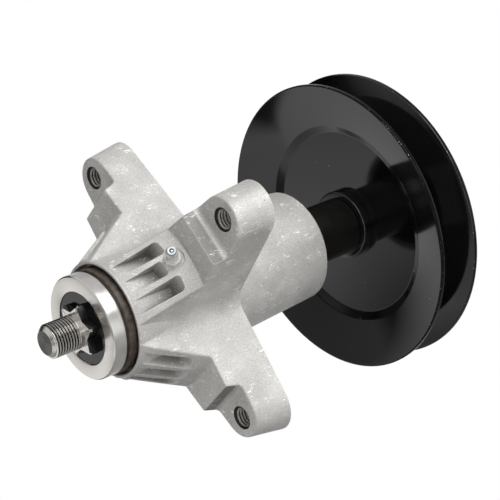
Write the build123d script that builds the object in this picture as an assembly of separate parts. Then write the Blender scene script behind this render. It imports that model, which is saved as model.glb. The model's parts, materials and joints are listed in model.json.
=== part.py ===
from build123d import *
from math import atan2, cos, degrees, hypot, radians, sin, tan
import os

# Mower deck spindle. Millimetres. The shaft runs along Z.
# Zero is the middle of the housing's mounting face, and Z rises towards the belt pulley.

# Deep groove ball bearings
bearing_bore_radius = 10.0
bearing_outer_radius = 23.5
bearing_width = 14.0
bearing_edge = 1.0
race_wall = 4.2
ball_radius = 3.97
ball_count = 8
ball_clearance = 0.05
cage_half_width = 1.15
cage_base = 1.0
cage_clearance = 0.12
seal_thickness = 1.0
seal_inset = 0.4
seal_lip_gap = 0.3
seal_seat_depth = 1.3

# Cast housing, whose walls are given outside the bearings
neck_wall = 3.5
neck_length = 59.0
nose_wall = 3.8
nose_length = 54.0
cavity_step = 3.5
rim_bevel = 0.6
neck_bevel = 1.2
neck_draft = 3.0

# Four ears, and the ribbed gusset that carries each
ear_count = 4
first_ear_angle = 45.0
bolt_circle_radius = 66.7
bolt_hole_radius = 4.8
bolt_countersink_radius = 5.5
ear_reach = 79.2
ear_thickness = 18.3
ear_end_draft = 10.2
arm_half_width = 23.6
arm_taper = 9.1
arm_draft = 4.6
valley_fillet = 9.0
shoulder_height = 7.2
shoulder_reach = 53.7
shoulder_draft = 18.0
shoulder_fillet = 2.4
gusset_rise = 14.7
gusset_toe = 0.7
rib_thickness = 3.65
side_rib_thickness = 2.68
pocket_count = 3
pocket_floor_wall = 4.5
pocket_back = 7.5
pocket_draft = 3.0
pocket_corner = 1.0
cast_edge = 0.9

# Grease nipple, square to the sloping face of one gusset
nipple_ear = 1
nipple_back = 6.1
nipple_offset = -1.3
nipple_pocket_gap = 4.5
nipple_hex = 7.0
nipple_hex_height = 3.2
nipple_thread_radius = 3.2
nipple_thread_length = 5.5
nipple_head_radius = 2.9
nipple_neck_radius = 2.2
nipple_height = 12.7
nipple_bore_radius = 1.25
nipple_mouth_radius = 0.95
check_ball_radius = 1.15
spring_wire = 0.3
spring_turns = 4
spot_face_radius = 5.2
spot_face_depth = 0.35
grease_hole_radius = 1.6

# Snap rings
snap_thickness = 1.75
snap_groove_depth = 1.1
snap_width = 2.6
snap_lug_radius = 2.4
snap_lug_hole = 1.1
snap_opening = 12.0
lower_snap_land = 0.75
upper_snap_land = 1.3

# Dust ring in the nose
dust_bore_step = 2.1
dust_bore_depth = 4.0
dust_bore_clearance = 1.15
dust_ring_wall = 2.0
dust_ring_depth = 7.0
dust_ring_gap = 1.2

# Blade ring and the black plate in its recess
blade_ring_inset = 0.35
blade_ring_thickness = 7.0
blade_ring_stand_off = 4.5
blade_ring_bore = 17.0
blade_ring_recess = 5.5
blade_ring_edge = 0.8
blade_ring_step_width = 1.7
spigot_radius = 13.0
plate_drop = 0.6
plate_clearance = 0.1
star_clearance = 0.35

# Shaft
shaft_clearance = 0.02
star_tip_radius = 13.5
star_root_radius = 8.5
star_points = 6
star_turn = 44.0
star_height = 3.3
star_tip_round = 0.7
star_root_round = 1.3
star_bevel = 0.8
thread_radius = 7.94
thread_clearance = 0.03
stub_length = 16.2
stub_bevel = 2.3
stub_bevel_run = 2.1
flat_width = 16.4
flat_radius = 9.4
shaft_end_length = 2.4
shaft_end_bevel = 1.0

# Sleeve between the upper bearing and the pulley
sleeve_radius = 14.2
sleeve_edge = 0.5

# Two pressed sheaves, back to back, on a hub
pulley_radius = 73.0
pulley_middle = 99.97
sheet = 2.37
web_radius = 47.3
step_run = 4.0
step_height = 2.4
step_fillet = 2.2
flank_angle = 20.0
hub_radius = 17.3
hub_front = 4.9
hub_bevel = 0.7
hub_spigot_radius = 13.0
hub_ring_radius = 17.0
hub_ring_height = 2.9

# Washer and flange nut at the top
washer_radius = 16.0
washer_thickness = 2.5
washer_hole_gap = 0.35
nut_flats = 23.8
nut_height = 12.5
nut_flange_radius = 15.2
nut_flange_height = 2.6
nut_bevel = 1.2

# Radii that follow the bearing
pitch_radius = (bearing_bore_radius + bearing_outer_radius) / 2
inner_land_radius = bearing_bore_radius + race_wall
outer_land_radius = bearing_outer_radius - race_wall
cavity_radius = bearing_outer_radius - cavity_step
neck_radius = bearing_outer_radius + neck_wall
neck_root_radius = neck_radius + (neck_length - neck_bevel) * tan(radians(neck_draft))
nose_radius = bearing_outer_radius + nose_wall
gusset_radius = nose_radius + gusset_rise
pocket_floor_radius = bearing_outer_radius + pocket_floor_wall
dust_bore_radius = bearing_outer_radius + dust_bore_step
dust_ring_radius = dust_bore_radius - dust_bore_clearance
blade_ring_radius = dust_ring_radius - blade_ring_inset

# Places along the shaft that several pieces share
nose_end = -nose_length
dust_floor = nose_end + dust_bore_depth
lower_face = dust_floor + lower_snap_land + snap_thickness
lower_back = lower_face + bearing_width
upper_face = neck_length - upper_snap_land - snap_thickness
upper_back = upper_face - bearing_width
ring_back = nose_end - blade_ring_stand_off
ring_front = ring_back - blade_ring_thickness
ring_floor = ring_front + blade_ring_recess
star_front = ring_front - star_height
stub_end = star_front - stub_length
shoulder_face = -(ear_thickness + shoulder_height)
gusset_front = nose_end + gusset_toe
web_front = pulley_middle - sheet
web_back = pulley_middle + sheet
hub_face = web_front - hub_front
hub_top = web_back + hub_ring_height
washer_top = hub_top + washer_thickness
nut_top = washer_top + nut_height
ear_angles = [first_ear_angle + 360 / ear_count * turn for turn in range(ear_count)]


def save(name, shape):
    export_step(shape, "parts/" + name + ".step")


def turned(*points):
    # A solid of revolution about Z, from points given as radius and height.
    section = make_face(Plane.XZ * Polyline(*points, close=True))
    return revolve(section, Axis.Z)


def tube(outer, inner, low, high):
    return turned((inner, low), (outer, low), (outer, high), (inner, high))


def around(shape, angles):
    return [Rot(0, 0, angle) * shape for angle in angles]


def evenly(count, start=0.0):
    return [start + 360 / count * turn for turn in range(count)]


# Housing

def arm_outline(depth):
    # Straight sides that narrow outwards, closed by a round end that touches both.
    taper = radians(arm_taper)
    half = arm_half_width - depth * tan(radians(arm_draft))
    reach = ear_reach - depth * tan(radians(ear_end_draft))
    radius = (half * cos(taper) - reach * sin(taper)) / (1 - sin(taper))
    corner = (reach - radius + radius * sin(taper), radius * cos(taper))
    mirror = (corner[0], -corner[1])
    end = ThreePointArc(mirror, (reach, 0), corner)
    rest = Polyline(corner, (0, half), (0, -half), mirror)
    return Pos(0, 0, -depth) * make_face(end + rest)


def arms():
    arm = loft([arm_outline(0), arm_outline(nose_length)], ruled=True)
    cross = Part() + around(arm, ear_angles)
    reach = arm_half_width * 2
    valleys = [edge for edge in cross.edges()
               if hypot(edge.center().X, edge.center().Y) < reach
               and edge.length > nose_length * 0.9 and abs(edge.center().Z + nose_length / 2) < 1]
    return fillet(valleys, valley_fillet)


def gusset_envelope():
    far = ear_reach * 1.5
    return turned((0, 0), (far, 0), (far, shoulder_face), (gusset_radius, shoulder_face),
                  (nose_radius, gusset_front), (nose_radius, nose_end), (0, nose_end))


def ear_step():
    # What is cut away in front of an ear, with a round root where it meets the gusset.
    far = ear_reach * 1.5
    lean = tan(radians(shoulder_draft))
    foot = (shoulder_reach + shoulder_height * lean, -ear_thickness)
    top = (shoulder_reach - shoulder_height * lean, shoulder_face - shoulder_height)
    section = make_face(Polyline(foot, (far, foot[1]), (far, top[1]), top, close=True))
    root = section.vertices().sort_by(Axis.X)[1]
    section = fillet(root, shoulder_fillet)
    return extrude(Plane.XZ * section, ear_reach, both=True)


def gusset_half_width():
    mean = (nose_radius + gusset_radius) / 2
    depth = (gusset_front + shoulder_face) / -2
    return arm_half_width - mean * tan(radians(arm_taper)) - depth * tan(radians(arm_draft))


def rib_pitch():
    return ((gusset_half_width() - side_rib_thickness) * 2 + rib_thickness) / pocket_count


def pocket(index, back):
    # One pocket between two ribs: round at the back, and wider at the mouth.
    middle = (index - (pocket_count - 1) / 2) * rib_pitch()
    width = rib_pitch() - rib_thickness
    front = nose_end - pocket_corner
    section = Rectangle(width, back - front)
    section = fillet(section.vertices().group_by(Axis.Y)[-1], pocket_corner)
    place = Plane(origin=(pocket_floor_radius * 0.8, middle, (back + front) / 2), x_dir=(0, 1, 0), z_dir=(1, 0, 0))
    return extrude(place * section, gusset_radius, taper=-pocket_draft)


def pockets(with_nipple):
    cuts = []
    for index in range(pocket_count):
        back = shoulder_face - pocket_back
        if with_nipple and index == pocket_count // 2:
            back = nipple_base().Z - nipple_pocket_gap
        cuts.append(pocket(index, back))
    floor = Cylinder(pocket_floor_radius, nose_length * 4)
    return Part() + cuts - floor


def gusset_lean():
    return atan2(gusset_radius - nose_radius, shoulder_face - gusset_front)


def nipple_base():
    height = shoulder_face - nipple_back
    radius = gusset_radius - nipple_back * tan(gusset_lean())
    return Vector(radius, nipple_offset, height)


def nipple_place():
    # The nipple's own plane, on the sloping face, seen with its ear along X.
    lean = gusset_lean()
    outward = Vector(cos(lean), 0, -sin(lean))
    return Plane(origin=nipple_base() - outward * spot_face_depth, x_dir=(0, 1, 0), z_dir=outward)


def nipple_cut():
    drill = nipple_base().X - cavity_radius
    face = Pos(0, 0, nipple_height / 2) * Cylinder(spot_face_radius, nipple_height)
    hole = Pos(0, 0, -nipple_thread_length / 2) * Cylinder(nipple_thread_radius, nipple_thread_length)
    way = Pos(0, 0, -drill / 2 - ball_radius) * Cylinder(grease_hole_radius, drill + 2 * ball_radius)
    return Rot(0, 0, ear_angles[nipple_ear]) * (nipple_place() * (face + hole + way))


def bolt_cut():
    # Through the ear, with a countersink on its free face.
    sink = bolt_countersink_radius - bolt_hole_radius
    front = -ear_thickness
    hole = turned((0, 0), (bolt_hole_radius, 0), (bolt_hole_radius, front + sink),
                  (bolt_countersink_radius, front), (bolt_countersink_radius, front - sink), (0, front - sink))
    return Pos(bolt_circle_radius, 0, 0) * hole


def housing_bore():
    # The dust bore, both snap ring grooves, both bearing seats and the grease cavity.
    groove = bearing_outer_radius + snap_groove_depth
    lower_groove = lower_face - snap_thickness
    upper_groove = upper_face + snap_thickness
    over = 2 * rim_bevel
    return turned(
        (0, nose_end - over), (dust_bore_radius + rim_bevel + over, nose_end - over),
        (dust_bore_radius, nose_end + rim_bevel), (dust_bore_radius, dust_floor),
        (bearing_outer_radius, dust_floor), (bearing_outer_radius, lower_groove),
        (groove, lower_groove), (groove, lower_face), (bearing_outer_radius, lower_face),
        (bearing_outer_radius, lower_back), (cavity_radius, lower_back), (cavity_radius, upper_back),
        (bearing_outer_radius, upper_back), (bearing_outer_radius, upper_face), (groove, upper_face),
        (groove, upper_groove), (bearing_outer_radius, upper_groove),
        (bearing_outer_radius, neck_length - rim_bevel),
        (bearing_outer_radius + rim_bevel + over, neck_length + over), (0, neck_length + over))


def cast_edges(body):
    # Front edges of the ears, edges of the ledges behind them, and the long sides of the gussets.
    chosen = []
    for edge in body.edges():
        spots = [edge @ 0, edge @ 0.5, edge @ 1]
        radii = [hypot(spot.X, spot.Y) for spot in spots]
        slope = [gusset_radius - (shoulder_face - spot.Z) * tan(gusset_lean()) for spot in spots]
        ear = all(abs(spot.Z + ear_thickness) < 0.01 for spot in spots) and edge.geom_type != GeomType.LINE
        ledge = all(abs(spot.Z - shoulder_face) < 0.01 for spot in spots) and radii[1] > gusset_radius + 1
        side = abs(spots[0].Z - spots[2].Z) > 1 and all(abs(r - s) < 0.2 for r, s in zip(radii, slope))
        if ear or ledge or side:
            chosen.append(edge)
    return chosen


def housing():
    body = arms() & gusset_envelope()
    body = body - around(ear_step(), ear_angles)
    body = fillet(cast_edges(body), cast_edge)
    body = body - [Rot(0, 0, angle) * pockets(turn == nipple_ear) for turn, angle in enumerate(ear_angles)]
    hub = turned((0, nose_end), (nose_radius - rim_bevel, nose_end), (nose_radius, nose_end + rim_bevel),
                 (nose_radius, 0), (neck_root_radius, 0), (neck_radius, neck_length - neck_bevel),
                 (neck_radius - neck_bevel, neck_length), (0, neck_length))
    body = body + hub
    body = body - around(bolt_cut(), ear_angles) - nipple_cut() - housing_bore()
    return body


# Grease nipple

def nipple_body():
    hexagon = extrude(RegularPolygon(nipple_hex / 2, 6, major_radius=False), nipple_hex_height)
    crown = Pos(0, 0, nipple_hex_height / 2) * Cone(nipple_hex * 0.66, nipple_hex * 0.5, nipple_hex_height)
    base = hexagon & crown
    shank = Pos(0, 0, -nipple_thread_length / 2) * Cylinder(nipple_thread_radius, nipple_thread_length)
    waist = (nipple_hex_height + nipple_height) / 2
    shoulder = nipple_height - nipple_head_radius
    mouth_depth = check_ball_radius
    head = turned((0, nipple_hex_height), (nipple_head_radius, nipple_hex_height),
                  (nipple_neck_radius, waist - nipple_neck_radius / 2), (nipple_neck_radius, waist),
                  (nipple_head_radius, shoulder), (nipple_head_radius, shoulder + 1),
                  (nipple_mouth_radius * 2, nipple_height), (0, nipple_height))
    bore = turned((0, -nipple_thread_length), (nipple_bore_radius, -nipple_thread_length),
                  (nipple_bore_radius, nipple_height - mouth_depth),
                  (nipple_mouth_radius, nipple_height - mouth_depth / 2),
                  (nipple_mouth_radius, nipple_height), (0, nipple_height))
    return base + shank + head - bore


def ball_rest():
    # The check ball's centre, where it touches the cone below the mouth.
    run = check_ball_radius / 2
    rise = nipple_bore_radius - nipple_mouth_radius
    slope = hypot(run, rise)
    return nipple_height - check_ball_radius / 2 - (check_ball_radius * slope - nipple_mouth_radius * run) / rise


def check_ball():
    return Pos(0, 0, ball_rest()) * Sphere(check_ball_radius)


def check_spring():
    radius = nipple_bore_radius - spring_wire / 2 - ball_clearance
    drop = (nipple_height + nipple_thread_length) / 3
    contact = (check_ball_radius + spring_wire / 2) ** 2 - radius ** 2
    top = ball_rest() - contact ** 0.5 - ball_clearance
    path = Helix(drop / spring_turns, drop, radius)
    wire = Plane(origin=path @ 0, z_dir=path % 0) * Circle(spring_wire / 2)
    return Pos(0, 0, top - drop) * sweep(wire, path)


def on_nipple(shape):
    return Rot(0, 0, ear_angles[nipple_ear]) * (nipple_place() * shape)


# Bearings, made about their own middle

def race_groove():
    section = Plane.XZ * (Pos(pitch_radius, 0) * Circle(ball_radius + ball_clearance))
    return revolve(section, Axis.Z)


def outer_race():
    half = bearing_width / 2
    seat = half - seal_inset - seal_thickness
    step = outer_land_radius + seal_seat_depth
    edge = bearing_outer_radius - bearing_edge
    blank = turned((step, -half), (edge, -half), (bearing_outer_radius, -half + bearing_edge),
                   (bearing_outer_radius, half - bearing_edge), (edge, half), (step, half),
                   (step, seat), (outer_land_radius, seat), (outer_land_radius, -seat), (step, -seat))
    return blank - race_groove()


def inner_race():
    half = bearing_width / 2
    edge = bearing_bore_radius + bearing_edge
    blank = turned((edge, -half), (inner_land_radius, -half), (inner_land_radius, half), (edge, half),
                   (bearing_bore_radius, half - bearing_edge), (bearing_bore_radius, -half + bearing_edge))
    return blank - race_groove()


def balls(radius):
    return around(Pos(pitch_radius, 0, 0) * Sphere(radius), evenly(ball_count))


def cage():
    # A crown cage: a thin base ring with fingers that reach past the balls' middle.
    pocket_radius = ball_radius + cage_clearance
    outer = pitch_radius + cage_half_width
    inner = pitch_radius - cage_half_width
    ring = tube(outer, inner, -ball_radius / 3, pocket_radius + cage_base)
    return ring - balls(pocket_radius)


def seal():
    low = bearing_width / 2 - seal_inset - seal_thickness
    return tube(outer_land_radius + seal_seat_depth, inner_land_radius + seal_lip_gap, low, low + seal_thickness)


def bearing(name, face):
    place = Pos(0, 0, face + bearing_width / 2)
    save(name + "_outer_race", place * outer_race())
    save(name + "_inner_race", place * inner_race())
    save(name + "_balls", Compound(children=[place * ball for ball in balls(ball_radius)]))
    save(name + "_cage", place * cage())
    save(name + "_seal_top", place * seal())
    save(name + "_seal_bottom", place * (Rot(180, 0, 0) * seal()))


def snap_ring(low):
    # An open ring in its groove, with a drilled lug at each end.
    outer = bearing_outer_radius + snap_groove_depth
    high = low + snap_thickness
    inner = outer - snap_width
    ring = tube(outer, inner, low, high)
    gap = Pos(outer, 0, (low + high) / 2) * Box(outer, snap_opening, snap_thickness * 2)
    ring = ring - gap
    for side in (-1, 1):
        angle = degrees(side * (snap_opening / 2 + snap_lug_radius) / inner)
        spot = Rot(0, 0, angle) * Pos(bearing_outer_radius - snap_lug_radius, 0, (low + high) / 2)
        ring = ring + spot * Cylinder(snap_lug_radius, snap_thickness)
        ring = ring - spot * Cylinder(snap_lug_hole, snap_thickness * 2)
    return ring


# Nose end: dust ring, blade ring and star plate

def spigot_step():
    return ring_back + dust_ring_gap


def dust_ring():
    # A shallow rubber cup: its web sits on the blade ring's spigot and its lip reaches into the nose.
    front = spigot_step()
    back = front + dust_ring_depth
    lip = dust_ring_radius - dust_ring_wall
    web = front + dust_ring_wall
    soft = dust_ring_wall / 4
    return turned((spigot_radius, front), (dust_ring_radius - soft, front), (dust_ring_radius, front + soft),
                  (dust_ring_radius, back), (lip, back), (lip, web), (spigot_radius, web))


def blade_ring():
    bore = bearing_bore_radius + shaft_clearance
    edge = blade_ring_edge
    step = blade_ring_radius - blade_ring_step_width
    return turned((bore, ring_floor), (blade_ring_bore, ring_floor), (blade_ring_bore, ring_front + edge / 2),
                  (blade_ring_bore + edge / 2, ring_front), (blade_ring_radius - edge, ring_front),
                  (blade_ring_radius, ring_front + edge), (blade_ring_radius, ring_back - edge / 2),
                  (blade_ring_radius - edge / 2, ring_back), (step, ring_back), (step, spigot_step()),
                  (spigot_radius, spigot_step()), (spigot_radius, lower_face), (bore, lower_face))


def star_outline(grow):
    points = []
    for turn in range(star_points):
        tip = radians(star_turn + 360 / star_points * turn)
        root = tip + radians(180 / star_points)
        points.append(((star_tip_radius + grow) * cos(tip), (star_tip_radius + grow) * sin(tip)))
        points.append(((star_root_radius + grow) * cos(root), (star_root_radius + grow) * sin(root)))
    star = make_face(Polyline(*points, close=True))
    limit = (star_tip_radius + star_root_radius) / 2
    tips = [corner for corner in star.vertices() if hypot(corner.X, corner.Y) > limit]
    star = fillet(tips, star_tip_round + grow)
    roots = [corner for corner in star.vertices() if hypot(corner.X, corner.Y) < star_root_radius + grow + 0.01]
    return fillet(roots, star_root_round)


def star_plate():
    # A black plate that fills the blade ring's recess, with a star hole for the shaft.
    front = ring_front + plate_drop
    disc = tube(blade_ring_bore - plate_clearance, 0, front, ring_floor)
    hole = Pos(0, 0, ring_front) * extrude(star_outline(star_clearance), blade_ring_recess * 2)
    return disc - hole


# Shaft and the pieces stacked on it

def shaft():
    end = nut_top + shaft_end_length
    body = turned((0, stub_end), (thread_radius - stub_bevel, stub_end),
                  (thread_radius, stub_end + stub_bevel_run), (thread_radius, ring_floor),
                  (bearing_bore_radius, ring_floor), (bearing_bore_radius, hub_face),
                  (flat_radius, hub_face), (flat_radius, hub_top - shaft_end_bevel),
                  (thread_radius, hub_top - shaft_end_bevel), (thread_radius, end - shaft_end_bevel),
                  (thread_radius - shaft_end_bevel, end), (0, end))
    return body - flats(0) + star()


def flats(grow):
    # The two flats that turn the pulley, as the slabs to cut away.
    height = hub_top - shaft_end_bevel - hub_face
    across = flat_width / 2 + grow
    slab = Box(2 * flat_radius + 2, flat_radius, height)
    middle = (hub_face + hub_top - shaft_end_bevel) / 2
    return [Pos(0, side * (across + flat_radius / 2), middle) * slab for side in (-1, 1)]


def star():
    block = Pos(0, 0, star_front) * extrude(star_outline(0), ring_floor - star_front)
    bevel = turned((0, star_front), (star_tip_radius - 2 * star_bevel, star_front),
                   (star_tip_radius, star_front + star_bevel), (star_tip_radius, ring_floor), (0, ring_floor))
    return block & bevel


def bearing_spacer():
    return tube(inner_land_radius - bearing_edge, bearing_bore_radius + shaft_clearance, lower_back, upper_back)


def sleeve():
    bore = bearing_bore_radius + shaft_clearance
    return turned((bore, upper_face), (sleeve_radius - sleeve_edge, upper_face),
                  (sleeve_radius, upper_face + sleeve_edge), (sleeve_radius, hub_face - sleeve_edge),
                  (sleeve_radius - sleeve_edge, hub_face), (bore, hub_face))


# Pulley

def near_sheave():
    # Pressed sheet: flat web, a small step, then the flank of the groove out to a rim that is turned true.
    half = sheet / 2
    web = pulley_middle - half
    step = web_radius + step_run
    rim = pulley_radius + sheet
    rim_height = web - step_height - (rim - step) * tan(radians(flank_angle))
    path = FilletPolyline((hub_spigot_radius - sheet, web), (web_radius, web), (step, web - step_height),
                          (rim, rim_height), radius=step_fillet)
    section = make_face(offset(path, half, side=Side.BOTH))
    ring = tube(pulley_radius, hub_spigot_radius, 0, pulley_middle)
    return revolve(Plane.XZ * section, Axis.Z) & ring


def far_sheave():
    return mirror(near_sheave(), Plane.XY.offset(pulley_middle))


def shaft_hole(low, high):
    # A round hole with two flats, which fits the shaft's end.
    height = high - low
    across = flat_width + 2 * shaft_clearance
    place = Pos(0, 0, (low + high) / 2)
    return place * (Cylinder(flat_radius + shaft_clearance, height) & Box(flat_radius * 3, across, height))


def pulley_hub():
    body = turned((0, hub_face), (hub_radius - hub_bevel, hub_face), (hub_radius, hub_face + hub_bevel),
                  (hub_radius, web_front), (hub_spigot_radius, web_front), (hub_spigot_radius, hub_top),
                  (0, hub_top))
    return body - shaft_hole(hub_face, hub_top)


def hub_ring():
    edge = hub_ring_height / 3
    return turned((hub_spigot_radius, web_back), (hub_ring_radius, web_back), (hub_ring_radius, hub_top - edge),
                  (hub_ring_radius - edge, hub_top), (hub_spigot_radius, hub_top))


def washer():
    return tube(washer_radius, thread_radius + washer_hole_gap, hub_top, washer_top)


def flange_nut():
    hexagon = Pos(0, 0, washer_top) * extrude(RegularPolygon(nut_flats / 2, 6, major_radius=False), nut_height)
    corner = nut_flats / 2 / cos(radians(30))
    crown = turned((0, washer_top), (corner, washer_top), (corner, nut_top - nut_bevel),
                   (nut_flats / 2 - nut_bevel / 2, nut_top), (0, nut_top))
    flange = turned((0, washer_top), (nut_flange_radius, washer_top),
                    (nut_flange_radius, washer_top + nut_flange_height / 2),
                    (nut_flats / 2, washer_top + nut_flange_height), (0, washer_top + nut_flange_height))
    return (hexagon & crown) + flange - Cylinder(thread_radius + thread_clearance, nut_top * 4)


os.makedirs("parts", exist_ok=True)
save("housing", housing())
save("grease_nipple", on_nipple(nipple_body()))
save("grease_check_ball", on_nipple(check_ball()))
save("grease_spring", on_nipple(check_spring()))
bearing("lower", lower_face)
bearing("upper", upper_back)
save("lower_snap_ring", snap_ring(lower_face - snap_thickness))
save("upper_snap_ring", snap_ring(upper_face))
save("dust_ring", dust_ring())
save("blade_ring", blade_ring())
save("star_plate", star_plate())
save("shaft", shaft())
save("bearing_spacer", bearing_spacer())
save("sleeve", sleeve())
save("pulley_near_sheave", near_sheave())
save("pulley_far_sheave", far_sheave())
save("pulley_hub", pulley_hub())
save("pulley_hub_ring", hub_ring())
save("top_washer", washer())
save("top_nut", flange_nut())
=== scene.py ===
import json
from functools import partial

import bmesh
import bpy
import numpy as np
from mathutils import Matrix


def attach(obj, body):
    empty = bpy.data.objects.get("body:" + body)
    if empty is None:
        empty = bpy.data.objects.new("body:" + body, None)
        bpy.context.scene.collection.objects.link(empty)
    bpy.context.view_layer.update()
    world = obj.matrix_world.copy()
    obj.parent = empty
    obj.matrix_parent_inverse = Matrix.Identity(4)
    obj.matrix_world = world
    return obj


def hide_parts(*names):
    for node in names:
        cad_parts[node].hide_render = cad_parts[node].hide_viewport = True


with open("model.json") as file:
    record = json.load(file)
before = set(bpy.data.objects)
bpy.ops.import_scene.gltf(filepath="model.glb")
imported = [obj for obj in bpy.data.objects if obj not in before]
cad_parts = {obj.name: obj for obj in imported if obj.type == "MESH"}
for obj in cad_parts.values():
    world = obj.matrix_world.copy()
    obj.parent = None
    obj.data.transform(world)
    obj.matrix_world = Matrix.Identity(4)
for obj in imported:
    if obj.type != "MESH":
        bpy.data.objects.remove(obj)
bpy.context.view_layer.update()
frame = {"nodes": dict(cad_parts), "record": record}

print("mower deck spindle: frame loaded,", len(frame["nodes"]), "nodes")

mm = 0.001
turn = 2 * np.pi


# Small tools for meshes

def roundCorners(corners, radii, closed=True, steps=5):
    # Each corner becomes an arc that touches both of its sides. An arc's points are its centre
    # plus its radius times a direction that swings evenly from the first side to the second.
    corners = np.asarray(corners, float)
    radii = np.broadcast_to(np.maximum(radii, 1e-4), len(corners)).astype(float)
    before, after = np.roll(corners, 1, 0) - corners, np.roll(corners, -1, 0) - corners
    before /= np.linalg.norm(before, axis=1, keepdims=True)
    after /= np.linalg.norm(after, axis=1, keepdims=True)
    middle = before + after
    middle /= np.linalg.norm(middle, axis=1, keepdims=True)
    half = np.arccos(np.clip((before * middle).sum(1), -1, 1))[:, None]
    radius = radii[:, None]
    centre = corners + middle * radius / np.sin(half)
    first = (corners + before * radius / np.tan(half) - centre) / radius
    last = (corners + after * radius / np.tan(half) - centre) / radius
    sweep = (np.pi - 2 * half)[:, :, None]
    share = np.linspace(0, 1, steps)[None, :, None]
    swing = np.sin((1 - share) * sweep) * first[:, None] + np.sin(share * sweep) * last[:, None]
    swing /= np.sin(sweep)
    points = centre[:, None] + swing * radii[:, None, None]
    if not closed:
        points = [corners[:1]] + list(points[1:-1]) + [corners[-1:]]
    return np.concatenate(list(points))


def gridFaces(rows, columns, wrapRows, wrapColumns):
    # Four-sided faces between neighbours on a grid of points, numbered row by row.
    row = np.arange(rows if wrapRows else rows - 1)[:, None]
    column = np.arange(columns if wrapColumns else columns - 1)[None, :]
    nextRow, nextColumn = (row + 1) % rows, (column + 1) % columns
    faces = np.stack([row * columns + column, nextRow * columns + column,
                      nextRow * columns + nextColumn, row * columns + nextColumn], -1)
    return faces.reshape(-1, 4)


def makePiece(name, shells, sharp=32):
    # One object from several closed shells, each a pair of points in millimetres and faces.
    points = np.concatenate([shell[0] for shell in shells]) * mm
    start = np.cumsum([0] + [len(shell[0]) for shell in shells[:-1]])
    faces = np.concatenate([shell[1] + first for shell, first in zip(shells, start)])
    mesh = bpy.data.meshes.new(name)
    mesh.from_pydata(points.tolist(), [], faces.tolist())
    work = bmesh.new()
    work.from_mesh(mesh)
    bmesh.ops.remove_doubles(work, verts=work.verts, dist=1e-6)
    bmesh.ops.dissolve_degenerate(work, edges=work.edges, dist=1e-7)
    bmesh.ops.recalc_face_normals(work, faces=work.faces)
    work.to_mesh(mesh)
    work.free()
    mesh.shade_smooth()
    mesh.set_sharp_from_angle(angle=np.radians(sharp))
    piece = bpy.data.objects.new(name, mesh)
    bpy.context.scene.collection.objects.link(piece)
    return piece


def latheShell(outline, segments=160):
    # The outline's points, given as radius and height, turned once round Z.
    radius, height = np.asarray(outline, float).T
    angle = np.linspace(0, turn, segments, endpoint=False)[:, None]
    points = np.stack([radius * np.cos(angle), radius * np.sin(angle), height + 0 * angle], -1)
    return points.reshape(-1, 3), gridFaces(segments, len(radius), True, True)


def threadWave(height, angle, pitch, flat=0.18):
    # One start of a V thread: 0 at the root and 1 at the crest, from the height in pitches less the turn.
    share = np.mod(height / pitch - angle / turn, 1)
    wave = 1 - np.abs(2 * share - 1)
    return np.clip((wave - flat / 2) / (1 - flat), 0, 1)


def threadShell(outline, zones, pitch, depth, segments=96, fine=0.09):
    # A turned outline whose radius drops to the thread's root where the height is in a zone.
    outline = np.asarray(outline, float)
    dense = [outline[:1]]
    for begin, end in zip(outline[:-1], outline[1:]):
        count = max(1, int(np.ceil(abs(end[1] - begin[1]) / fine)))
        dense.append(begin + (end - begin) * (np.arange(1, count + 1) / count)[:, None])
    radius, height = np.concatenate(dense).T
    angle = np.linspace(0, turn, segments, endpoint=False)[:, None]
    low, high, run = zones
    strength = np.clip((height - low) / run, 0, 1) * np.clip((high - height) / run, 0, 1)
    cut = depth * strength * (1 - threadWave(height, angle, pitch))
    shown = np.where(radius > 0, np.maximum(radius - cut, 0), 0)
    points = np.stack([shown * np.cos(angle), shown * np.sin(angle), height + 0 * angle], -1)
    return points.reshape(-1, 3), gridFaces(segments, len(radius), True, False)


def faceTable(piece):
    # Each face's middle in millimetres and its normal.
    count = len(piece.data.polygons)
    middle, normal = np.empty(count * 3), np.empty(count * 3)
    piece.data.polygons.foreach_get("center", middle)
    piece.data.polygons.foreach_get("normal", normal)
    return middle.reshape(-1, 3) / mm, normal.reshape(-1, 3)


def finish(piece, body, material, slotName, *nodes):
    piece.data.materials.clear()
    piece.data.materials.append(material)
    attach(piece, body)
    if nodes:
        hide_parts(*nodes)
    return piece


# Small tools for materials

def hexColour(code):
    # An sRGB hex colour as linear red, green, blue and alpha.
    share = np.array([int(code[i:i + 2], 16) for i in (1, 3, 5)]) / 255
    linear = np.where(share <= 0.04045, share / 12.92, ((share + 0.055) / 1.055) ** 2.4)
    return (*linear.tolist(), 1.0)


def addNode(tree, kind, *given, out=0, **settings):
    # Adds one node and gives back one of its outputs, or the node itself where out is None. A second word
    # in kind is the operation, or a mix's data type. A setting is a property of the node, or else the input
    # of that name. What is given fills the inputs that are on, in order: a socket is linked, and a number
    # or a hex code is set.
    name, *mode = kind.split()
    node = tree.nodes.new("ShaderNode" + name)
    for word in mode:
        setattr(node, "data_type" if name == "Mix" else "operation", word)
    for key in [key for key in settings if hasattr(node, key)]:
        setattr(node, key, settings.pop(key))
    filled = list(zip([socket for socket in node.inputs if socket.enabled], given))
    for socket, value in filled + [(node.inputs[key], value) for key, value in settings.items()]:
        if isinstance(value, bpy.types.NodeSocket):
            tree.links.new(value, socket)
        else:
            socket.default_value = hexColour(value) if isinstance(value, str) else value
    if out is None:
        return node
    return node.outputs[out] if isinstance(out, str) else [one for one in node.outputs if one.enabled][out]


def newMaterial(name):
    # A new material, what adds and links its nodes, the place on the piece, and the surface's node.
    material = bpy.data.materials.new(name)
    material.use_nodes = True
    tree = material.node_tree
    tree.nodes.clear()
    add = partial(addNode, tree)
    place = add("TexCoord", out="Object")
    surface = add("BsdfPrincipled", out=None)
    add("OutputMaterial", surface.outputs[0], out=None)
    return material, add, tree.links.new, place, surface


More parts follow.
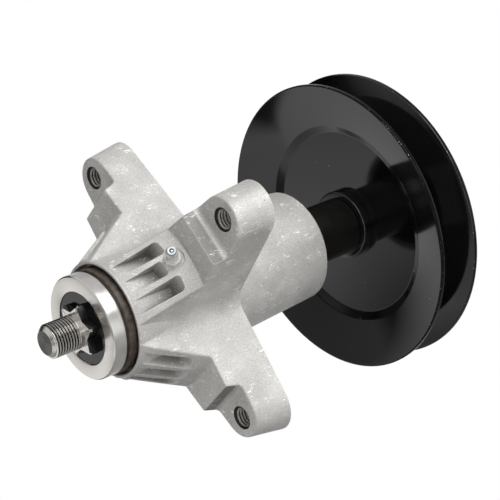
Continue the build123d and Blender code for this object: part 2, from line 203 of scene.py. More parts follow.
# Materials. A texture's scale is one over its size, so 1 / (14 * mm) makes patches about 14 mm across.

def thinScratches(add, place, patch, rotation):
    # Short thin lines: the middle of a noise that is stretched one way, kept only inside small patches.
    turned = add("Mapping", place, Rotation=rotation, Scale=(1, 14, 2))
    streaks = add("TexNoise", turned, 1 / (15 * mm), 1, 0.5, Distortion=0.4)
    wave = add("Math ABSOLUTE", add("Math SUBTRACT", streaks, 0.5))
    inPatch = add("MapRange", add("TexNoise", place, 1 / (patch * mm), 1), 0.62, 0.66)
    return add("Math MULTIPLY", add("MapRange", wave, 0.008, 0.018, 1, 0), inPatch)


# Where the darker walls lie, in millimetres: first |x| + |y| and then z, with the stretch over which each
# side fades in or out.
darkWallZone = {"reach": ((71, 72), (79, 80)), "height": ((-25.6, -25.2), (-21, -20))}


def darkerWallMask(add, place):
    # 1 on the walls beside the bolt faces, which are made darker. They look along their own ear, which lies on
    # a diagonal: there the normal's x and y, each with its place's sign, add up to nearly the root of 2.
    split = add("SeparateXYZ", place, out=None).outputs
    surfaceWay = add("NewGeometry", out="Normal")
    facing = add("SeparateXYZ", surfaceWay, out=None).outputs
    along = [add("Math MULTIPLY", facing[axis], add("Math SIGN", split[axis])) for axis in (0, 1)]
    outward = add("Math ADD", along[0], along[1])
    reach = add("Math ADD", add("Math ABSOLUTE", split[0]), add("Math ABSOLUTE", split[1]))
    shown = add("MapRange", outward, 1.1, 1.2)
    for source, (low, high) in ((reach, darkWallZone["reach"]), (split[2], darkWallZone["height"])):
        shown = add("Math MULTIPLY", shown, add("MapRange", source, low[0] * mm, low[1] * mm))
        shown = add("Math MULTIPLY", shown, add("MapRange", source, high[0] * mm, high[1] * mm, 1, 0))
    return shown


def castAluminium():
    # Die cast and shot blasted aluminium: pale and matt with a sparkling grain, bright edges, partly from wear
    # and partly a painted highlight, painted shade in the hollows, small scratches and a few dark pits.
    material, add, link, place, surface = newMaterial("castAluminiumShotBlasted")
    patches = add("TexNoise", place, 1 / (14 * mm), 3)
    grain = add("TexNoise", place, 1 / (0.42 * mm), 2, 0.7)
    openness = add("AmbientOcclusion", samples=8, Distance=10 * mm, out="AO")
    corner = add("Bevel", 0.7 * mm, samples=6)
    surfaceWay = add("NewGeometry", out="Normal")
    bend = add("VectorMath DOT_PRODUCT", corner, surfaceWay)
    colour = add("Mix RGBA", add("MapRange", patches, 0.3, 0.7), "#b4b2ae", "#c9c8c5")
    colour = add("Mix RGBA", add("MapRange", grain, 0.5, 0.7, 0, 0.5), colour, "#f3f2f0")
    colour = add("Mix RGBA", add("MapRange", grain, 0.30, 0.44, 0.45, 0), colour, "#7b7a77")
    # the walls beside the bolt faces are made darker
    colour = add("Mix RGBA", add("Math MULTIPLY", darkerWallMask(add, place), 0.7), colour, "#63615e")
    # painted shade: the colour darkens where the ambient occlusion finds the surface enclosed
    colour = add("Mix RGBA", add("MapRange", openness, 0.15, 0.62, 0.6, 0), colour, "#4b4844")
    # bright edges: partly wear and partly a painted edge highlight
    edgeWearAndGlint = add("Math MULTIPLY", add("MapRange", bend, 0.972, 0.9),
               add("MapRange", openness, 0.6, 0.85, 0, 0.7))
    colour = add("Mix RGBA", edgeWearAndGlint, colour, "#f4f3f1")
    pits = add("TexVoronoi", place, 1 / (6 * mm))
    pitMask = add("Math MULTIPLY", add("MapRange", pits, 0.03, 0.06, 1, 0), add("MapRange", patches, 0.5, 0.56))
    colour = add("Mix RGBA", pitMask, colour, "#3a3836")
    scratches = 0
    for patch, rotation in ((6, (0.6, 0.3, 0.9)), (7, (-0.4, 1.1, -0.5)), (5, (1.3, -0.7, 0.2))):
        scratches = add("Math MAXIMUM", thinScratches(add, place, patch, rotation), scratches)
    colour = add("Mix RGBA", add("Math MULTIPLY", scratches, 0.8), colour, "#fbfaf9")
    rounded = add("Bump", 0.5, 0.2 * mm, Height=add("TexNoise", place, 1 / (5 * mm), 2), Normal=corner)
    normal = add("Bump", 0.8, 0.12 * mm, Height=grain, Normal=rounded)
    surface.inputs["Metallic"].default_value = 0.35
    link(colour, surface.inputs["Base Color"])
    link(add("MapRange", grain, 0.3, 0.7, 0.6, 0.42), surface.inputs["Roughness"])
    link(normal, surface.inputs["Normal"])
    return material


def fromAxis(add, x, y):
    # The vector (x, y, 0) and its length, which is the distance from an axis that runs along Z.
    flat = add("CombineXYZ", x, y)
    return flat, add("VectorMath LENGTH", flat)


def turnedSteel(name, low, high, groove, roughness, root=None):
    # Lathe-turned steel: rings round the shaft's axis that catch the light, from the distance to that axis.
    # Where root is given, the metal is painted dark below that radius, a painted shade in a thread's root.
    material, add, link, place, surface = newMaterial(name)
    split = add("SeparateXYZ", place, out=None).outputs
    flat, radius = fromAxis(add, split[0], split[1])
    along = add("Math ADD", radius, split[2])
    rings = add("TexNoise", along, 1 / (groove * mm), 3, noise_dimensions="1D")
    blotch = add("TexNoise", place, 1 / (7 * mm), 3)
    colour = add("Mix RGBA", add("MapRange", blotch, 0.3, 0.7), low, high)
    colour = add("Mix RGBA", add("MapRange", rings, 0.35, 0.75, 0, 0.3), colour, "#f0efed")
    if root:
        level = add("Math ABSOLUTE", split[2])
        # Not on the stub's bevel, nor on the flats under the pulley's hub.
        threaded = add("Math MAXIMUM", add("MapRange", level, 82.6 * mm, 83.2 * mm, 1, 0),
                       add("MapRange", level, 104 * mm, 105 * mm))
        # painted shade: darker towards the thread's roots
        paintedRootShade = add("Math MULTIPLY", threaded, add("MapRange", radius, root[0] * mm, root[1] * mm, 1, 0))
        colour = add("Mix RGBA", paintedRootShade, colour, "#1c1a18")
    surface.inputs["Metallic"].default_value = 1.0
    surface.inputs["Anisotropic"].default_value = 0.85
    across = add("VectorMath ADD", add("VectorMath NORMALIZE", flat), (0, 0, 1))
    link(across, surface.inputs["Tangent"])
    link(colour, surface.inputs["Base Color"])
    link(add("MapRange", blotch, 0.3, 0.7, roughness, roughness * 1.4), surface.inputs["Roughness"])
    edges = add("Bevel", 0.15 * mm, samples=4)
    link(add("Bump", 0.4, 0.006 * mm, Height=rings, Normal=edges), surface.inputs["Normal"])
    return material


def plainFinish(name, low, high, patch, roughness, metallic=0.0, relief=0.01, grain=0.6, edge=0.2):
    # An even finish with slight colour variation and a fine skin.
    material, add, link, place, surface = newMaterial(name)
    patches = add("TexNoise", place, 1 / (patch * mm), 3)
    skin = add("TexNoise", place, 1 / (grain * mm), 2)
    surface.inputs["Metallic"].default_value = metallic
    link(add("Mix RGBA", add("MapRange", patches, 0.3, 0.7), low, high), surface.inputs["Base Color"])
    link(add("MapRange", patches, 0.3, 0.7, roughness * 0.85, roughness * 1.15), surface.inputs["Roughness"])
    edges = add("Bevel", edge * mm, samples=4)
    link(add("Bump", 0.5, relief * mm, Height=skin, Normal=edges), surface.inputs["Normal"])
    return material


def pulleyPaint():
    # Gloss black paint over pressed steel: bare metal shows in spots along the rim's corners, partly from wear
    # and partly as a painted glint, with a few pale specks. The paint is dull on the rim's edge, except at its
    # far corner.
    material, add, link, place, surface = newMaterial("glossBlackPaint")
    rimFrom, rimFull, edgeFull = 72.3 * mm, 72.5 * mm, 72.9 * mm    # radii near the rim, which is 73 mm
    split = add("SeparateXYZ", place, out=None).outputs
    radius = fromAxis(add, split[0], split[1])[1]
    corner = add("Bevel", 0.25 * mm, samples=4)
    surfaceWay = add("NewGeometry", out="Normal")
    outward = add("SeparateXYZ", surfaceWay, out=2)
    tilt = add("Math ABSOLUTE", outward)
    slanted = add("Math MULTIPLY", add("MapRange", tilt, 0.15, 0.3), add("MapRange", tilt, 0.75, 0.9, 1, 0))
    atCorner = add("Math MULTIPLY", add("MapRange", radius, rimFrom, rimFull), slanted)
    spots = add("TexNoise", place, 1 / (0.9 * mm), 3, 0.7)
    # bare metal spots at the rim's corners: partly wear and partly a painted glint
    edgeWearAndGlint = add("Math MULTIPLY", atCorner, add("MapRange", spots, 0.64, 0.71))
    onFar = add("Math MULTIPLY", add("MapRange", tilt, 0.2, 0.4), add("Math GREATER_THAN", split[2], 100 * mm))
    lit = add("Math MAXIMUM", add("MapRange", outward, 0.2, 0.4), onFar)
    shine = add("Math MAXIMUM", add("MapRange", radius, rimFrom, rimFull, 0.5, 0.08),
                add("Math MULTIPLY", lit, 0.5))
    link(shine, surface.inputs["Specular IOR Level"])
    cells = add("TexVoronoi", place, 1 / (9 * mm))
    speck = add("Math MULTIPLY", add("MapRange", cells, 0.03, 0.05, 1, 0),
                add("MapRange", add("TexNoise", place, 1 / (30 * mm), 1), 0.45, 0.5))
    patches = add("TexNoise", place, 1 / (20 * mm), 3)
    colour = add("Mix RGBA", add("MapRange", patches, 0.3, 0.7), "#060607", "#0b0b0b")
    colour = add("Mix RGBA", add("Math MULTIPLY", speck, 0.6), colour, "#b5b2ac")
    colour = add("Mix RGBA", edgeWearAndGlint, colour, "#c9c7c3")
    link(colour, surface.inputs["Base Color"])
    surface.inputs["IOR"].default_value = 1.6
    link(edgeWearAndGlint, surface.inputs["Metallic"])
    dull = add("Math MAXIMUM", add("Math MAXIMUM", edgeWearAndGlint, speck),
               add("MapRange", radius, rimFull, edgeFull, 0, 0.15))
    link(add("MapRange", dull, 0.0, 1.0, 0.09, 0.4), surface.inputs["Roughness"])
    skin = add("TexNoise", place, 1 / (1.5 * mm), 2)
    link(add("Bump", 0.5, 0.004 * mm, Height=skin, Normal=corner), surface.inputs["Normal"])
    return material


def tappedMetal():
    # Cut aluminium in a threaded hole, painted dark in the thread's roots as shade. The distance from the
    # hole's
    # own axis is the length of (|x| - c, |y| - c): the holes lie on the diagonals, c = 66.7 / root 2 mm out.
    material, add, link, place, surface = newMaterial("tappedAluminium")
    holePlace = 47.164 * mm
    split = add("SeparateXYZ", place, out=None).outputs
    apart = [add("Math SUBTRACT", add("Math ABSOLUTE", split[axis]), holePlace) for axis in (0, 1)]
    radius = fromAxis(add, apart[0], apart[1])[1]
    patches = add("TexNoise", place, 1 / (1.2 * mm), 3)
    colour = add("Mix RGBA", add("MapRange", patches, 0.3, 0.7), "#9a978f", "#d0cdc5")
    # painted shade: dark towards the thread's roots
    colour = add("Mix RGBA", add("MapRange", radius, 4.3 * mm, 4.7 * mm), colour, "#2a2825")
    surface.inputs["Metallic"].default_value = 0.5
    surface.inputs["Roughness"].default_value = 0.35
    link(colour, surface.inputs["Base Color"])
    return material


print("materials")
castSkin = castAluminium()
ringSteel = turnedSteel("turnedSteelBright", "#e6e1db", "#f3efea", 0.35, 0.2)
ringSide = turnedSteel("turnedSteelSide", "#d5d3d0", "#e9e7e4", 0.3, 0.3)
shaftSteel = turnedSteel("turnedSteelShaft", "#a9a6a1", "#c9c7c2", 0.25, 0.22)
threadSteel = turnedSteel("rolledThreadSteel", "#a9a6a0", "#cecbc6", 0.25, 0.2, (7.25, 7.72))
# a darker copy of the turned steel for the shaft's end faces: painted shade
shadedEndSteel = turnedSteel("shaftEndPaintedShade", "#555350", "#6b6966", 0.5, 0.38)
starFace = plainFinish("groundStarFace", "#dad7d2", "#f4f2ee", 1.5, 0.16, 0.9, 0.01, 0.5)
# black steel that stands in for shade on the star's sides and in the grease nipple's mouth
blackShadeSteel = plainFinish("blackSteelPaintedShade", "#0b0b0b", "#151515", 3, 0.16, relief=0.006, edge=0.4)
blackPaint = pulleyPaint()
earMetal = tappedMetal()
# a dark sheet on the countersinks: painted shade
countersinkShade = plainFinish("countersinkPaintedShade", "#1d1b19", "#34312e", 1.5, 0.45, 0.5, 0.02)
sleeveBlack = plainFinish("blackOxideSleeve", "#0c0c0a", "#16150f", 9, 0.32, relief=0.01)
plateBlack = plainFinish("glossBlackNylonPlate", "#0a0a0b", "#111112", 6, 0.1, relief=0.003, edge=0.45)
dustRubber = plainFinish("brownBlackNitrileRubber", "#2a221b", "#584b40", 2.5, 0.45, relief=0.04, grain=0.9)
sealRubber = plainFinish("blackNitrileSeal", "#141414", "#1c1c1c", 5, 0.55, relief=0.01)
zincPlate = plainFinish("zincPlatedSteel", "#d6d6cf", "#eceae4", 2.5, 0.3, 0.4, 0.012, 0.5)
blueTip = plainFinish("blueZincTip", "#6d8fa6", "#94b2c4", 1.2, 0.3, 0.6, 0.01, 0.4)
bearingSteel = plainFinish("groundBearingSteel", "#bdbdbd", "#d2d2d2", 6, 0.14, 1.0, 0.003)
springBlack = plainFinish("blackenedSpringSteel", "#1b1b1d", "#26262a", 4, 0.35, 0.6, 0.01)
cageNylon = plainFinish("cageNylon", "#4d3f2a", "#5c4c33", 4, 0.5, relief=0.01)

slotMaterials = {
    "cast_aluminium": castSkin, "zinc_plate": zincPlate, "bearing_steel": bearingSteel,
    "spring_steel": springBlack, "brown_rubber": dustRubber, "turned_steel": ringSteel,
    "black_plastic": plateBlack, "shaft_steel": shaftSteel, "black_sleeve": sleeveBlack,
    "black_paint": blackPaint, "cage_nylon": cageNylon, "seal_rubber": sealRubber,
}
for part in frame["record"]["subparts"]:
    node = frame["nodes"][part["node"]]
    node.data.materials.clear()
    node.data.materials.append(slotMaterials[part["material_slot"]])


# Pieces turned on a lathe

print("turned pieces")
blade = {"radius": 24.1, "front": -65.5, "back": -58.5, "bore": 17.0, "floor": -60.0, "step": 22.4,
         "stepBack": -57.3, "spigot": 13.0, "spigotBack": -47.5, "shaft": 10.02, "edge": 0.55}
bladeRing = makePiece("bladeRing", [latheShell(roundCorners([
    (blade["shaft"], blade["floor"]), (blade["bore"], blade["floor"]), (blade["bore"], blade["front"]),
    (blade["radius"] - blade["edge"], blade["front"]), (blade["radius"], blade["front"] + blade["edge"]),
    (blade["radius"], blade["back"]), (blade["step"], blade["back"]),
    (blade["step"], blade["stepBack"]), (blade["spigot"], blade["stepBack"]),
    (blade["spigot"], blade["spigotBack"]), (blade["shaft"], blade["spigotBack"])],
    [0.1, 0.2, 0.4, 0.15, 0.15, 0.5, 0.2, 0.2, 0.2, 0.2, 0.2]))], 30)
finish(bladeRing, "rotor", ringSteel, "turned_steel", "blade_ring")
bladeRing.data.materials.append(ringSide)
onSide = np.abs(faceTable(bladeRing)[1][:, 2]) < 0.5
bladeRing.data.polygons.foreach_set("material_index", onSide.astype(np.int32))

dust = {"radius": 24.45, "front": -57.3, "depth": 7.0, "wall": 2.0, "bore": 13.0, "soft": 0.6}
dustRing = makePiece("dustRing", [latheShell(roundCorners([
    (dust["bore"], dust["front"]), (dust["radius"], dust["front"]),
    (dust["radius"], dust["front"] + dust["depth"]),
    (dust["radius"] - dust["wall"], dust["front"] + dust["depth"]),
    (dust["radius"] - dust["wall"], dust["front"] + dust["wall"]),
    (dust["bore"], dust["front"] + dust["wall"])],
    [0.1, dust["soft"], 0.4, 0.3, 0.4, 0.1]))], 60)
finish(dustRing, "rotor", dustRubber, "brown_rubber", "dust_ring")

sleeve = {"radius": 14.2, "bore": 10.02, "low": 55.95, "high": 92.7, "edge": 0.5}
sleevePiece = makePiece("pulleySleeve", [latheShell(roundCorners([
    (sleeve["bore"], sleeve["low"]), (sleeve["radius"], sleeve["low"]), (sleeve["radius"], sleeve["high"]),
    (sleeve["bore"], sleeve["high"])], [0.1, sleeve["edge"], sleeve["edge"], 0.1]))], 60)
finish(sleevePiece, "rotor", sleeveBlack, "black_sleeve", "sleeve")


# Pulley

print("pulley")
pulley = {"radius": 73.0, "middle": 99.97, "sheet": 2.37, "web": 47.3, "stepRun": 4.0, "stepHeight": 2.4,
          "fillet": 2.2, "flank": 20.0, "bore": 13.0, "rimRound": 0.6}


def sheaveOutline():
    # The sheet's middle line, moved half a thickness to each side along its own normal. At the rim both sides
    # run on to the full radius, and a short straight edge joins them there.
    half = pulley["sheet"] / 2
    web, step = pulley["middle"] - half, pulley["web"] + pulley["stepRun"]
    rim, low = pulley["radius"] + pulley["sheet"], web - pulley["stepHeight"]
    slope = np.tan(np.radians(pulley["flank"]))
    corners = [(pulley["bore"], web), (pulley["web"], web), (step, low), (rim, low - (rim - step) * slope)]
    line = roundCorners(corners, pulley["fillet"], closed=False, steps=9)
    along = np.gradient(line, axis=0)
    along /= np.linalg.norm(along, axis=1, keepdims=True)
    side = np.stack([-along[:, 1], along[:, 0]], 1) * half
    inside, outside = line + side, line - side
    edge = [surface[-1] + along[-1] * (pulley["radius"] - surface[-1, 0]) / along[-1, 0]
            for surface in (inside, outside)]
    rimArcs = roundCorners([inside[-2], edge[0], edge[1], outside[-2]],
                           [0.1, pulley["rimRound"], pulley["rimRound"], 0.1])[5:15]
    return np.concatenate([inside[:-1], rimArcs, outside[-2::-1]])


nearOutline = sheaveOutline()
farOutline = nearOutline * (1, -1) + (0, 2 * pulley["middle"])
nearSheave = makePiece("nearSheave", [latheShell(nearOutline, 256)], 30)
farSheave = makePiece("farSheave", [latheShell(farOutline, 256)], 30)
finish(nearSheave, "rotor", blackPaint, "black_paint", "pulley_near_sheave")
finish(farSheave, "rotor", blackPaint, "black_paint", "pulley_far_sheave")

hub = {"radius": 17.3, "front": 92.7, "web": 97.6, "spigot": 13.0, "top": 105.24, "bore": 9.42, "round": 0.8,
       "ringRadius": 17.0, "ringLow": 102.34}
hubPiece = makePiece("pulleyHub", [latheShell(roundCorners([
    (hub["bore"], hub["front"]), (hub["radius"], hub["front"]), (hub["radius"], hub["web"]),
    (hub["spigot"], hub["web"]), (hub["spigot"], hub["top"]), (hub["bore"], hub["top"])],
    [0.1, hub["round"], 0.1, 0.1, 0.2, 0.1]))], 30)
finish(hubPiece, "rotor", blackPaint, "black_paint", "pulley_hub")
hubRing = makePiece("pulleyHubRing", [latheShell(roundCorners([
    (hub["spigot"], hub["ringLow"]), (hub["ringRadius"], hub["ringLow"]), (hub["ringRadius"], hub["top"] - 1),
    (hub["ringRadius"] - 1, hub["top"]), (hub["spigot"], hub["top"])], [0.05, 0.1, 0.3, 0.3, 0.1]))], 60)
finish(hubRing, "rotor", blackPaint, "black_paint", "pulley_hub_ring")


# Shaft

print("shaft")
shaft = {"stubEnd": -85.0, "starFront": -68.8, "starBack": -60.0, "thread": 7.94, "pitch": 25.4 / 18,
         "depth": 0.85, "bevel": 2.3, "bevelRun": 2.1, "relief": 2.4, "body": 10.0, "hubFace": 92.7,
         "flatRadius": 9.4, "flatHalf": 8.2, "flatTop": 104.24, "top": 122.64, "topBevel": 1.0}
star = {"tip": 13.5, "root": 8.5, "points": 6, "turn": 44.0, "tipRound": 0.7, "rootRound": 1.3, "bevel": 0.8}


def starShell():
    # A six-pointed outline carried along Z. Near the front, its radius is held inside a cone.
    count = np.arange(star["points"] * 2)
    angle = np.radians(star["turn"]) + count * np.pi / star["points"]
    reach = np.where(count % 2 == 0, star["tip"], star["root"])
    corners = np.stack([reach * np.cos(angle), reach * np.sin(angle)], 1)
    outline = roundCorners(corners, np.where(count % 2 == 0, star["tipRound"], star["rootRound"]))
    radius = np.linalg.norm(outline, axis=1)
    rows = []
    for height, limit in ((shaft["starFront"], 0.0), (shaft["starFront"], star["tip"] - 2 * star["bevel"]),
                          (shaft["starFront"] + star["bevel"], star["tip"]), (shaft["starBack"], star["tip"]),
                          (shaft["starBack"], 0.0)):
        held = outline * (np.minimum(radius, limit) / radius)[:, None]
        rows.append(np.column_stack([held, np.full(len(held), height)]))
    return np.concatenate(rows), gridFaces(len(rows), len(outline), False, True)


def flattenedShell(outline, half):
    # A turned outline whose two sides are cut flat at y = half and y = -half.
    points, faces = latheShell(outline, 96)
    points[:, 1] = np.clip(points[:, 1], -half, half)
    return points, faces


stub = threadShell([(0, shaft["stubEnd"]), (shaft["thread"] - shaft["bevel"], shaft["stubEnd"]),
                    (shaft["thread"], shaft["stubEnd"] + shaft["bevelRun"]),
                    (shaft["thread"], shaft["starBack"] - 1), (0, shaft["starBack"] - 1)],
                   (shaft["stubEnd"] + 1.2, shaft["starFront"] - shaft["relief"], 0.5),
                   shaft["pitch"], shaft["depth"])
core = latheShell([(0, shaft["starBack"]), (shaft["body"], shaft["starBack"]),
                   (shaft["body"], shaft["hubFace"]), (0, shaft["hubFace"])], 96)
seat = flattenedShell([(0, shaft["hubFace"]), (shaft["flatRadius"], shaft["hubFace"]),
                       (shaft["flatRadius"], shaft["flatTop"]), (0, shaft["flatTop"])], shaft["flatHalf"])
topEnd = threadShell([(0, shaft["flatTop"]), (shaft["thread"], shaft["flatTop"]),
                      (shaft["thread"], shaft["top"] - shaft["topBevel"]),
                      (shaft["thread"] - shaft["topBevel"], shaft["top"]), (0, shaft["top"])],
                     (shaft["flatTop"] + 0.5, shaft["top"] + 1, 0.6), shaft["pitch"], shaft["depth"])
shaftPiece = makePiece("spindleShaft", [stub, starShell(), core, seat, topEnd], 40)
finish(shaftPiece, "rotor", shaftSteel, "shaft_steel", "shaft")
middle, normal = faceTable(shaftPiece)
height, radius = middle[:, 2], np.hypot(middle[:, 0], middle[:, 1])
onStub, onTop = height < shaft["starFront"] - 0.01, height > shaft["flatTop"] + 0.01
onEnd = (height < shaft["stubEnd"] + 0.01) | (height > shaft["top"] - 0.01)
onBevel = (height < shaft["stubEnd"] + shaft["bevelRun"]) & (radius < shaft["thread"] - 0.03) & ~onEnd
onFace = np.abs(height - shaft["starFront"]) < 0.02
alongStar = (height > shaft["starFront"]) & (height < shaft["starBack"] - 0.01)
onStar = onFace | (alongStar & (radius > shaft["thread"]))
kind = np.zeros(len(height), dtype=np.int32)
kind[(onStub | onTop) & ~onBevel] = 1
kind[onEnd] = 2
kind[onStar] = 3
kind[onStar & (np.abs(normal[:, 2]) < 0.3)] = 4        # the star's steel sides are painted black as shade, and only its face is bright ground steel
kind[onBevel] = 5
for material in (threadSteel, shadedEndSteel, starFace, blackShadeSteel, ringSteel):
    shaftPiece.data.materials.append(material)
shaftPiece.data.polygons.foreach_set("material_index", kind)


# Threads in the ears

print("ear threads")
ears = {"count": 4, "first": 45.0, "circle": 66.7, "major": 4.8, "depth": 0.8, "pitch": 25.4 / 16,
        "low": -17.9, "high": -0.4, "mouth": 5.5, "face": -18.3, "skin": 0.04}


def mouthShell(middle):
    # A thin dark cone that lines the countersink, from the thread's first turn out to the ear's face: a dark
    #     # sheet that stands in for painted shade there.
    skin, sink = ears["skin"], ears["mouth"] - ears["major"]
    low, high = ears["face"] - skin / 2, ears["face"] + sink
    points, faces = latheShell([
        (ears["major"] - skin, high + 0.5), (ears["major"] - skin, high), (ears["mouth"] - skin, low),
        (ears["mouth"] + skin, low), (ears["mouth"] + skin, high), (ears["major"] + skin, high + 0.5)], 64)
    return points + np.array([middle[0], middle[1], 0]), faces


def earThreadShells():
    # A tube whose bore is a thread: the inner radius is the hole's, less the thread's depth times its wave.
    height = np.arange(ears["low"], ears["high"], ears["pitch"] / 14)
    angle = np.linspace(0, turn, 64, endpoint=False)[:, None]
    run = np.clip((height - ears["low"]) / 0.6, 0, 1) * np.clip((height[-1] - height) / 0.6, 0, 1)
    inner = ears["major"] - 0.02 - ears["depth"] * run * threadWave(height, angle, ears["pitch"])
    outer = np.full_like(inner, ears["major"] + 0.1)
    radius = np.concatenate([inner, outer[:, ::-1]], 1)
    level = np.concatenate([height, height[::-1]]) + 0 * angle
    shells = []
    for ear in range(ears["count"]):
        way = np.radians(ears["first"] + 360 / ears["count"] * ear)
        middle = ears["circle"] * np.array([np.cos(way), np.sin(way)])
        points = np.stack([middle[0] + radius * np.cos(angle), middle[1] + radius * np.sin(angle), level], -1)
        shells.append((points.reshape(-1, 3), gridFaces(len(angle), radius.shape[1], True, True)))
        shells.append(mouthShell(middle))
    return shells


earThreads = makePiece("earThreads", earThreadShells(), 60)
finish(earThreads, "housing_body", earMetal, "cast_aluminium")
# the countersink's lining is painted dark as shade
earThreads.data.materials.append(countersinkShade)
atMouth = faceTable(earThreads)[0][:, 2] < ears["face"] + ears["mouth"] - ears["major"] + 0.05
earThreads.data.polygons.foreach_set("material_index", atMouth.astype(np.int32))


# Grease nipple

print("grease nipple")
# Its foot stands on the sloping face of the gusset that runs to the ear at 135 degrees.
nipple = {"ear": 135.0, "slopeRadius": 42.0, "rise": 14.7, "run": 27.8, "level": -25.5, "back": 6.1,
          "offset": -1.3, "sink": 0.35, "flats": 7.0, "twist": -13.0, "hexHeight": 3.2, "thread": 3.2,
          "threadLength": 5.5, "collar": 3.0, "groove": 2.45, "head": 2.9, "tip": 2.1, "height": 12.7,
          "bore": 1.25, "mouth": 0.95}


def nippleFrame():
    # The foot's middle, and the directions across, along the slope and out of it.
    lean, way = np.arctan2(nipple["rise"], nipple["run"]), np.radians(nipple["ear"])
    radial, around = np.array([np.cos(way), np.sin(way), 0]), np.array([-np.sin(way), np.cos(way), 0])
    outward = np.cos(lean) * radial - np.sin(lean) * np.array([0, 0, 1])
    reach = nipple["slopeRadius"] - nipple["back"] * np.tan(lean)
    foot = radial * reach + around * nipple["offset"] + np.array([0, 0, nipple["level"] - nipple["back"]])
    return foot - outward * nipple["sink"], around, np.cross(outward, around), outward


def placeOnNipple(points):
    foot, across, slope, outward = nippleFrame()
    return foot + points[:, :1] * across + points[:, 1:2] * slope + points[:, 2:] * outward


def hexagonShell():
    # A hexagon whose corners are cut by a cone at the top: the radius is the smaller of the flat's and
    # the cone's.
    angle = np.linspace(0, turn, 144, endpoint=False)
    flat = nipple["flats"] / 2 / np.cos(np.mod(angle - np.radians(nipple["twist"]), turn / 6) - turn / 12)
    rows = []
    for share, limit in ((0, 0.0), (0, 1.0), (0.62, 1.0), (0.72, 0.985), (0.82, 0.955), (0.92, 0.91), (1, 0.86),
                         (1, 0.0)):
        radius = np.minimum(flat, nipple["flats"] / np.sqrt(3) * limit)
        height = 0 * angle + share * nipple["hexHeight"]
        rows.append(np.column_stack([radius * np.cos(angle), radius * np.sin(angle), height]))
    return placeOnNipple(np.concatenate(rows)), gridFaces(len(rows), len(angle), False, True)


def nippleHeadShell():
    # Thread, collar, groove, domed head and a mouth with a seat for the ball, turned round the nipple's
    # own axis.
    base, top = nipple["hexHeight"], nipple["height"]
    points, faces = latheShell(roundCorners([
        (nipple["bore"], -nipple["threadLength"]), (nipple["thread"], -nipple["threadLength"]),
        (nipple["thread"], 0.2), (nipple["collar"], 0.2), (nipple["collar"], base + 1.2),
        (nipple["groove"], base + 1.6), (nipple["groove"], base + 2.6), (nipple["head"], base + 3.3),
        (nipple["head"], top - 2.6), (nipple["tip"] + 0.1, top - 0.9), (nipple["tip"], top),
        (nipple["mouth"], top), (nipple["mouth"], top - 0.8), (nipple["bore"], top - 1.6)],
        [0.1, 0.2, 0.1, 0.1, 0.3, 0.3, 0.3, 0.3, 0.5, 0.4, 0.3, 0.15, 0.1, 0.1]), 64)
    return placeOnNipple(points), faces


nipplePiece = makePiece("greaseNipple", [hexagonShell(), nippleHeadShell()], 35)
finish(nipplePiece, "housing_body", zincPlate, "zinc_plate", "grease_nipple")
foot, outward = nippleFrame()[0], nippleFrame()[3]
middle = faceTable(nipplePiece)[0]
tall = (middle - foot) @ outward
reach = np.linalg.norm(middle - foot - tall[:, None] * outward, axis=1)
nipplePiece.data.materials.append(blueTip)
nipplePiece.data.materials.append(blackShadeSteel)
atTip = tall > nipple["height"] - 1.7
kind = np.where(atTip & (reach > nipple["tip"] - 0.4) & (tall > nipple["height"] - 0.95), 1, 0)
# the nipple's mouth is painted black as shade
kind[atTip & (reach < nipple["mouth"] + 0.05)] = 2
nipplePiece.data.polygons.foreach_set("material_index", kind.astype(np.int32))


# Camera, floor and light

print("camera and light")
view = {"place": (-0.5269, 0.2675, -0.3949), "right": (-0.65329, -0.08384, 0.75246),
        "up": (0.22138, 0.92927, 0.29573), "back": (-0.72403, 0.35978, -0.58852), "lens": 110.13}
lens = bpy.data.cameras.new("camera")
lens.lens, lens.sensor_width = view["lens"], 36.0
lens.clip_start, lens.clip_end = 0.01, 50.0
camera = bpy.data.objects.new("camera", lens)
pose = Matrix.Identity(4)
for column, axis in enumerate((view["right"], view["up"], view["back"], view["place"])):
    for row in range(3):
        pose[row][column] = axis[row]
camera.matrix_world = pose
bpy.context.scene.collection.objects.link(camera)
bpy.context.scene.camera = camera

lamps = {
    "topKey": {"place": (-0.58, 0.92, 0.15), "size": 0.8, "power": 7.5},
    "cameraLeft": {"place": (-0.6, 0.3, -1.1), "size": 0.8, "power": 0.4},
    "cameraRight": {"place": (-0.5, 0.15, 0.95), "size": 0.8, "power": 2.0},
    "front": {"place": (-1.15, 0.05, -0.12), "size": 0.7, "power": 2.6},
}
for name, lamp in lamps.items():
    light = bpy.data.lights.new(name, "AREA")
    light.size, light.energy = lamp["size"], lamp["power"]
    lampObject = bpy.data.objects.new(name, light)
    lampObject.location = lamp["place"]
    aim = Matrix.Translation(lamp["place"]).translation
    lampObject.rotation_mode = "QUATERNION"
    lampObject.rotation_quaternion = (-aim).to_track_quat("-Z", "Y")
    bpy.context.scene.collection.objects.link(lampObject)


# The mirrored table is dimmed towards some sides: axis, then from where to where along it, and the two factors.
tableShades = [(0, 0.0, 0.2, 0.75, 1), (1, -0.85, -0.72, 0.35, 1), (2, -0.8, -0.65, 0.88, 1),
               (2, -0.5, -0.1, 1, 0.78), (2, -0.08, 0.04, 1, 0.5)]
# A soft box beside the camera, and the white backdrop behind the object.
brightPatches = [{"way": (-0.72, 0.36, -0.59), "edge": 0.9, "core": 0.96, "glow": 0.95},
                 {"way": (0.72, -0.36, 0.59), "edge": 0.82, "core": 0.92, "glow": 1.0}]


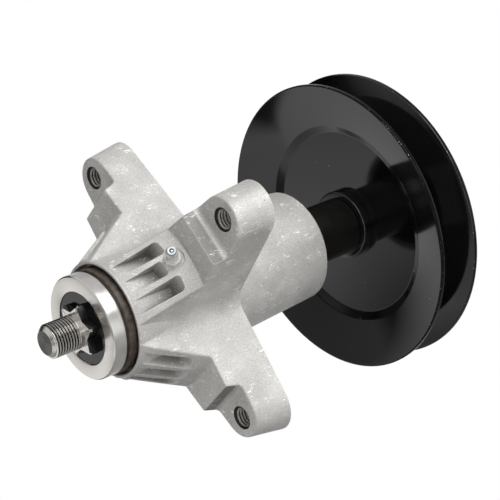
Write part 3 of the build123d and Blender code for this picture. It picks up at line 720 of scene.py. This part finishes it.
def mirroredRoom(add, way):
    # What polished surfaces mirror: a white table low down behind the object, with shade under the object
    # itself, a dim horizon, a pale ceiling, a grey wall past the pulley and a soft box.
    split = add("SeparateXYZ", way, out=None).outputs
    table = add("MapRange", split[1], -0.37, -0.1, 0.92, 0.0)
    for axis, low, high, begin, end in tableShades:
        table = add("Math MULTIPLY", table, add("MapRange", split[axis], low, high, begin, end))
    horizon = add("Math MULTIPLY", add("MapRange", split[2], -0.56, -0.42, 0.27, 0.04),
                  add("MapRange", split[1], 0.1, 0.16, 1, 0.2))
    ceiling = add("MapRange", split[1], 0.32, 0.5, 0.0, 0.65)
    wall = add("MapRange", split[2], 0.2, 0.45, 0.0, 0.5)
    shown = add("Math MAXIMUM", table, horizon)
    for part in (ceiling, wall):
        shown = add("Math MAXIMUM", shown, part)
    for patch in brightPatches:
        toPatch = add("VectorMath DOT_PRODUCT", way, patch["way"])
        glow = add("MapRange", toPatch, patch["edge"], patch["core"], 0.0, patch["glow"])
        shown = add("Math MAXIMUM", shown, glow)
    return shown


bpy.context.scene.view_settings.view_transform = "Standard"
world = bpy.data.worlds.new("whiteRoom")
bpy.context.scene.world = world
world.use_nodes = True
sky = world.node_tree
sky.nodes.clear()
addSky = partial(addNode, sky)
path = addSky("LightPath", out=None).outputs
mirrored = addSky("Math MAXIMUM", path["Is Glossy Ray"], path["Is Transmission Ray"])
seen = addSky("Math MAXIMUM", path["Is Camera Ray"], mirrored)
skyWay = addSky("TexCoord", out="Generated")
skySplit = addSky("SeparateXYZ", skyWay, out=None).outputs
shownWhite = addSky("Math MAXIMUM", path["Is Camera Ray"], mirroredRoom(addSky, skyWay))
softLight = addSky("Math MULTIPLY", addSky("MapRange", skySplit[1], -1.0, 1.0, 0.12, 0.72),
                   addSky("MapRange", skySplit[2], -1.0, 0.4, 0.4, 1.1))
roomLight = addSky("Background", "#ffffff", softLight)
whiteWall = addSky("Background", "#ffffff", shownWhite)
mixed = addSky("MixShader", seen, roomLight, whiteWall)
addSky("OutputWorld", mixed, out=None)

floorMesh = bpy.data.meshes.new("floor")
reach, level = 3.0, -0.9
floorCorners = [(x * reach, y * reach, level) for x, y in ((-1, -1), (1, -1), (1, 1), (-1, 1))]
floorMesh.from_pydata(floorCorners, [], [(0, 1, 2, 3)])
floor = bpy.data.objects.new("floor", floorMesh)
bpy.context.scene.collection.objects.link(floor)
floorPaint, addFloor, floorLink, floorPlace, floorSurface = newMaterial("paleFloor")
floorSurface.inputs["Base Color"].default_value = hexColour("#f4f4f4")
floorSurface.inputs["Roughness"].default_value = 0.9
floorPath = addFloor("LightPath", out=None).outputs
floorSurface.inputs["Emission Color"].default_value = hexColour("#ffffff")
floorGleam = addFloor("Math MULTIPLY", floorPath["Is Camera Ray"], 0.4)
floorLink(floorGleam, floorSurface.inputs["Emission Strength"])
floorWay = addFloor("VectorMath NORMALIZE", floorPlace)
shadowGap = addFloor("VectorMath DISTANCE", floorPlace, (0.87, -0.70, level))
shadowTone = addFloor("Math ADD", addFloor("MapRange", shadowGap, 0.12, 0.26, 0.05, 0.87),
                      addFloor("MapRange", shadowGap, 0.38, 0.55, 0, 0.13))
floorSplit = addFloor("SeparateXYZ", floorPlace, out=None).outputs
pastShadow = addFloor("MapRange", floorSplit[1], -0.86, -0.76, 1, 0)
shadowTone = addFloor("Math MAXIMUM", shadowTone, pastShadow)
floorTone = addFloor("Math MULTIPLY", mirroredRoom(addFloor, floorWay), shadowTone)    # dark in a shadow
floorMirrored = addFloor("Math MAXIMUM", floorPath["Is Glossy Ray"], floorPath["Is Transmission Ray"])
floorGlow = addFloor("Emission", "#ffffff", floorTone)
floorMixed = addFloor("MixShader", floorMirrored, floorSurface.outputs[0], floorGlow)
addFloor("OutputMaterial", floorMixed, out=None).is_active_output = True
floorMesh.materials.append(floorPaint)

print("done")
